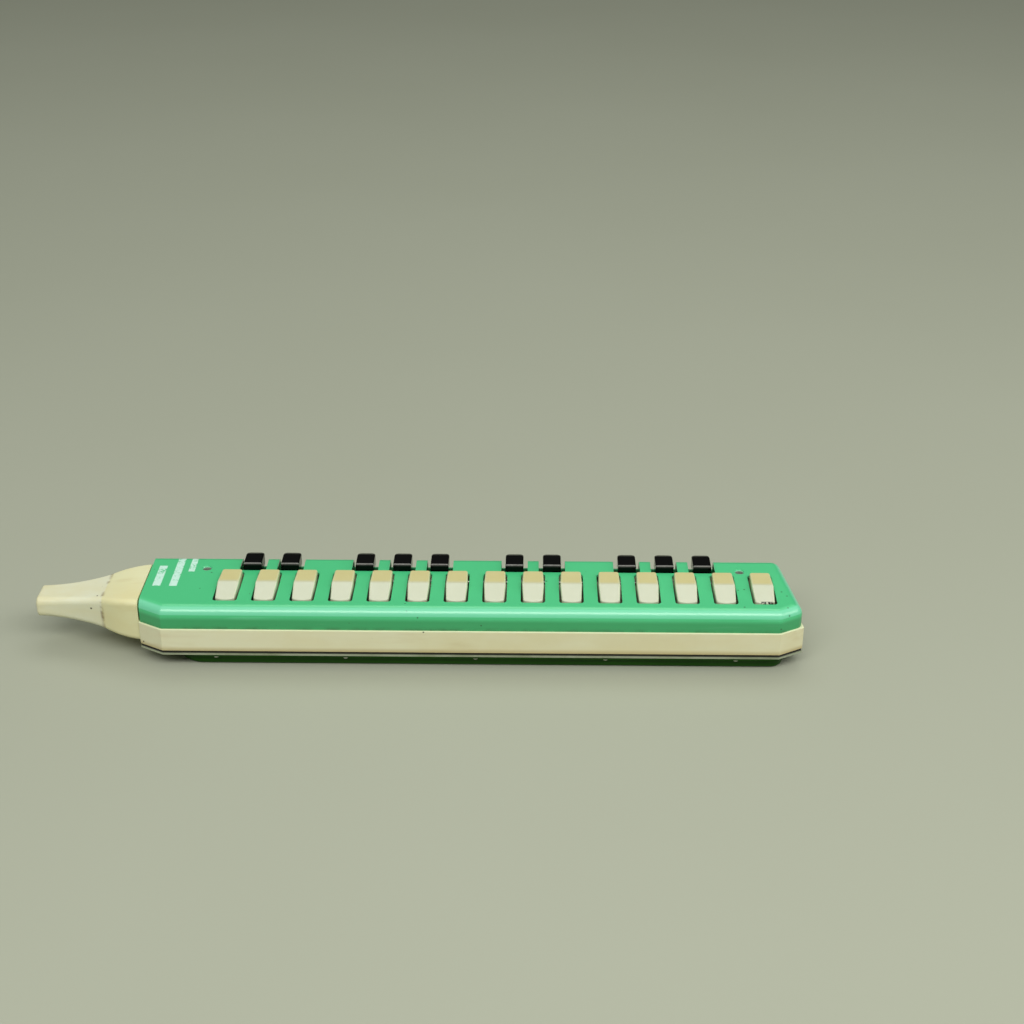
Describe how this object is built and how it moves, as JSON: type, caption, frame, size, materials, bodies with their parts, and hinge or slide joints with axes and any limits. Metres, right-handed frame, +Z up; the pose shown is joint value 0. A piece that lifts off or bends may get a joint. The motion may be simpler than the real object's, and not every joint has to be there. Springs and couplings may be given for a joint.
{
  "type": "melodica",
  "caption": "Hand-held blown free-reed keyboard with a green enamelled cover, sprung white and black keys and a pull-off mouthpiece.",
  "frame": {"origin": "bottom centre of the whole melodica's bounding box, on the surface that it lies on", "axes": "+X along the length away from the mouthpiece, +Y towards the black keys, +Z up through the key tops"},
  "size_m": [0.3422, 0.05, 0.0332],
  "materials": {
    "cover_enamel": "gloss enamel",
    "cream_moulding": "satin moulded plastic",
    "dark_green_enamel": "gloss enamel",
    "gasket": "matt",
    "plate_aluminium": "satin",
    "reed_brass": "satin",
    "rivet_aluminium": "satin",
    "steel": "plated",
    "felt": "felt",
    "spring_bronze": "satin",
    "button_chrome": "polished",
    "white_key_plastic": "satin, yellowed",
    "black_key_plastic": "gloss"
  },
  "bodies": {
    "instrument": {"top_cover": "cover_enamel", "body": "cream_moulding", "neck": "cream_moulding", "bottom_cover": "dark_green_enamel", "pan_gasket": "gasket", "body_gasket": "gasket", "reed_plate": "plate_aluminium", "reeds": "reed_brass", "reed_rivets": "rivet_aluminium", "key_axle": "steel", "key_stop_felt": "felt", "key_springs": "spring_bronze", "cover_screws": "steel", "bottom_cover_screws": "steel", "reed_plate_screws": "steel", "drain_spring": "steel"},
    "mouthpiece": {"mouthpiece": "cream_moulding"},
    "drain_valve": {"drain_button": "button_chrome", "drain_seal": "gasket"},
    "white_key_01": {"white_key_01": "white_key_plastic"},
    "white_key_02": {"white_key_02": "white_key_plastic"},
    "white_key_03": {"white_key_03": "white_key_plastic"},
    "white_key_04": {"white_key_04": "white_key_plastic"},
    "white_key_05": {"white_key_05": "white_key_plastic"},
    "white_key_06": {"white_key_06": "white_key_plastic"},
    "white_key_07": {"white_key_07": "white_key_plastic"},
    "white_key_08": {"white_key_08": "white_key_plastic"},
    "white_key_09": {"white_key_09": "white_key_plastic"},
    "white_key_10": {"white_key_10": "white_key_plastic"},
    "white_key_11": {"white_key_11": "white_key_plastic"},
    "white_key_12": {"white_key_12": "white_key_plastic"},
    "white_key_13": {"white_key_13": "white_key_plastic"},
    "white_key_14": {"white_key_14": "white_key_plastic"},
    "white_key_15": {"white_key_15": "white_key_plastic"},
    "black_key_01": {"black_key_01": "black_key_plastic"},
    "black_key_02": {"black_key_02": "black_key_plastic"},
    "black_key_03": {"black_key_03": "black_key_plastic"},
    "black_key_04": {"black_key_04": "black_key_plastic"},
    "black_key_05": {"black_key_05": "black_key_plastic"},
    "black_key_06": {"black_key_06": "black_key_plastic"},
    "black_key_07": {"black_key_07": "black_key_plastic"},
    "black_key_08": {"black_key_08": "black_key_plastic"},
    "black_key_09": {"black_key_09": "black_key_plastic"},
    "black_key_10": {"black_key_10": "black_key_plastic"}
  },
  "joints": [
    {"name": "white_key_01_press", "type": "hinge", "parent": "instrument", "child": "white_key_01", "pos_m": [-0.08435, 0.009, 0.0254], "axis": [1, 0, 0], "range_deg": [0, 9], "stiffness_Nm_per_rad": 0.06, "springref_deg": -8.59, "deforming": ["key_springs"]},
    {"name": "white_key_02_press", "type": "hinge", "parent": "instrument", "child": "white_key_02", "pos_m": [-0.06735, 0.009, 0.0254], "axis": [1, 0, 0], "range_deg": [0, 9], "stiffness_Nm_per_rad": 0.06, "springref_deg": -8.59, "deforming": ["key_springs"]},
    {"name": "white_key_03_press", "type": "hinge", "parent": "instrument", "child": "white_key_03", "pos_m": [-0.05035, 0.009, 0.0254], "axis": [1, 0, 0], "range_deg": [0, 9], "stiffness_Nm_per_rad": 0.06, "springref_deg": -8.59, "deforming": ["key_springs"]},
    {"name": "white_key_04_press", "type": "hinge", "parent": "instrument", "child": "white_key_04", "pos_m": [-0.03335, 0.009, 0.0254], "axis": [1, 0, 0], "range_deg": [0, 9], "stiffness_Nm_per_rad": 0.06, "springref_deg": -8.59, "deforming": ["key_springs"]},
    {"name": "white_key_05_press", "type": "hinge", "parent": "instrument", "child": "white_key_05", "pos_m": [-0.01635, 0.009, 0.0254], "axis": [1, 0, 0], "range_deg": [0, 9], "stiffness_Nm_per_rad": 0.06, "springref_deg": -8.59, "deforming": ["key_springs"]},
    {"name": "white_key_06_press", "type": "hinge", "parent": "instrument", "child": "white_key_06", "pos_m": [0.00065, 0.009, 0.0254], "axis": [1, 0, 0], "range_deg": [0, 9], "stiffness_Nm_per_rad": 0.06, "springref_deg": -8.59, "deforming": ["key_springs"]},
    {"name": "white_key_07_press", "type": "hinge", "parent": "instrument", "child": "white_key_07", "pos_m": [0.01765, 0.009, 0.0254], "axis": [1, 0, 0], "range_deg": [0, 9], "stiffness_Nm_per_rad": 0.06, "springref_deg": -8.59, "deforming": ["key_springs"]},
    {"name": "white_key_08_press", "type": "hinge", "parent": "instrument", "child": "white_key_08", "pos_m": [0.03465, 0.009, 0.0254], "axis": [1, 0, 0], "range_deg": [0, 9], "stiffness_Nm_per_rad": 0.06, "springref_deg": -8.59, "deforming": ["key_springs"]},
    {"name": "white_key_09_press", "type": "hinge", "parent": "instrument", "child": "white_key_09", "pos_m": [0.05165, 0.009, 0.0254], "axis": [1, 0, 0], "range_deg": [0, 9], "stiffness_Nm_per_rad": 0.06, "springref_deg": -8.59, "deforming": ["key_springs"]},
    {"name": "white_key_10_press", "type": "hinge", "parent": "instrument", "child": "white_key_10", "pos_m": [0.06865, 0.009, 0.0254], "axis": [1, 0, 0], "range_deg": [0, 9], "stiffness_Nm_per_rad": 0.06, "springref_deg": -8.59, "deforming": ["key_springs"]},
    {"name": "white_key_11_press", "type": "hinge", "parent": "instrument", "child": "white_key_11", "pos_m": [0.08565, 0.009, 0.0254], "axis": [1, 0, 0], "range_deg": [0, 9], "stiffness_Nm_per_rad": 0.06, "springref_deg": -8.59, "deforming": ["key_springs"]},
    {"name": "white_key_12_press", "type": "hinge", "parent": "instrument", "child": "white_key_12", "pos_m": [0.10265, 0.009, 0.0254], "axis": [1, 0, 0], "range_deg": [0, 9], "stiffness_Nm_per_rad": 0.06, "springref_deg": -8.59, "deforming": ["key_springs"]},
    {"name": "white_key_13_press", "type": "hinge", "parent": "instrument", "child": "white_key_13", "pos_m": [0.11965, 0.009, 0.0254], "axis": [1, 0, 0], "range_deg": [0, 9], "stiffness_Nm_per_rad": 0.06, "springref_deg": -8.59, "deforming": ["key_springs"]},
    {"name": "white_key_14_press", "type": "hinge", "parent": "instrument", "child": "white_key_14", "pos_m": [0.13665, 0.009, 0.0254], "axis": [1, 0, 0], "range_deg": [0, 9], "stiffness_Nm_per_rad": 0.06, "springref_deg": -8.59, "deforming": ["key_springs"]},
    {"name": "white_key_15_press", "type": "hinge", "parent": "instrument", "child": "white_key_15", "pos_m": [0.15365, 0.009, 0.0254], "axis": [1, 0, 0], "range_deg": [0, 9], "stiffness_Nm_per_rad": 0.06, "springref_deg": -8.59, "deforming": ["key_springs"]},
    {"name": "black_key_01_press", "type": "hinge", "parent": "instrument", "child": "black_key_01", "pos_m": [-0.07585, 0.009, 0.0254], "axis": [-1, 0, 0], "range_deg": [0, 12], "stiffness_Nm_per_rad": 0.06, "springref_deg": -8.59, "deforming": ["key_springs"]},
    {"name": "black_key_02_press", "type": "hinge", "parent": "instrument", "child": "black_key_02", "pos_m": [-0.05885, 0.009, 0.0254], "axis": [-1, 0, 0], "range_deg": [0, 12], "stiffness_Nm_per_rad": 0.06, "springref_deg": -8.59, "deforming": ["key_springs"]},
    {"name": "black_key_03_press", "type": "hinge", "parent": "instrument", "child": "black_key_03", "pos_m": [-0.02485, 0.009, 0.0254], "axis": [-1, 0, 0], "range_deg": [0, 12], "stiffness_Nm_per_rad": 0.06, "springref_deg": -8.59, "deforming": ["key_springs"]},
    {"name": "black_key_04_press", "type": "hinge", "parent": "instrument", "child": "black_key_04", "pos_m": [-0.00785, 0.009, 0.0254], "axis": [-1, 0, 0], "range_deg": [0, 12], "stiffness_Nm_per_rad": 0.06, "springref_deg": -8.59, "deforming": ["key_springs"]},
    {"name": "black_key_05_press", "type": "hinge", "parent": "instrument", "child": "black_key_05", "pos_m": [0.00915, 0.009, 0.0254], "axis": [-1, 0, 0], "range_deg": [0, 12], "stiffness_Nm_per_rad": 0.06, "springref_deg": -8.59, "deforming": ["key_springs"]},
    {"name": "black_key_06_press", "type": "hinge", "parent": "instrument", "child": "black_key_06", "pos_m": [0.04315, 0.009, 0.0254], "axis": [-1, 0, 0], "range_deg": [0, 12], "stiffness_Nm_per_rad": 0.06, "springref_deg": -8.59, "deforming": ["key_springs"]},
    {"name": "black_key_07_press", "type": "hinge", "parent": "instrument", "child": "black_key_07", "pos_m": [0.06015, 0.009, 0.0254], "axis": [-1, 0, 0], "range_deg": [0, 12], "stiffness_Nm_per_rad": 0.06, "springref_deg": -8.59, "deforming": ["key_springs"]},
    {"name": "black_key_08_press", "type": "hinge", "parent": "instrument", "child": "black_key_08", "pos_m": [0.09415, 0.009, 0.0254], "axis": [-1, 0, 0], "range_deg": [0, 12], "stiffness_Nm_per_rad": 0.06, "springref_deg": -8.59, "deforming": ["key_springs"]},
    {"name": "black_key_09_press", "type": "hinge", "parent": "instrument", "child": "black_key_09", "pos_m": [0.11115, 0.009, 0.0254], "axis": [-1, 0, 0], "range_deg": [0, 12], "stiffness_Nm_per_rad": 0.06, "springref_deg": -8.59, "deforming": ["key_springs"]},
    {"name": "black_key_10_press", "type": "hinge", "parent": "instrument", "child": "black_key_10", "pos_m": [0.12815, 0.009, 0.0254], "axis": [-1, 0, 0], "range_deg": [0, 12], "stiffness_Nm_per_rad": 0.06, "springref_deg": -8.59, "deforming": ["key_springs"]},
    {"name": "mouthpiece_pull", "type": "slide", "parent": "instrument", "child": "mouthpiece", "axis": [-1, 0, 0], "range_m": [0, 0.012]},
    {"name": "drain_valve_press", "type": "slide", "parent": "instrument", "child": "drain_valve", "axis": [-1, 0, 0], "range_m": [0, 0.002], "stiffness_N_per_m": 400, "springref_m": -0.001, "deforming": ["drain_spring"]}
  ]
}
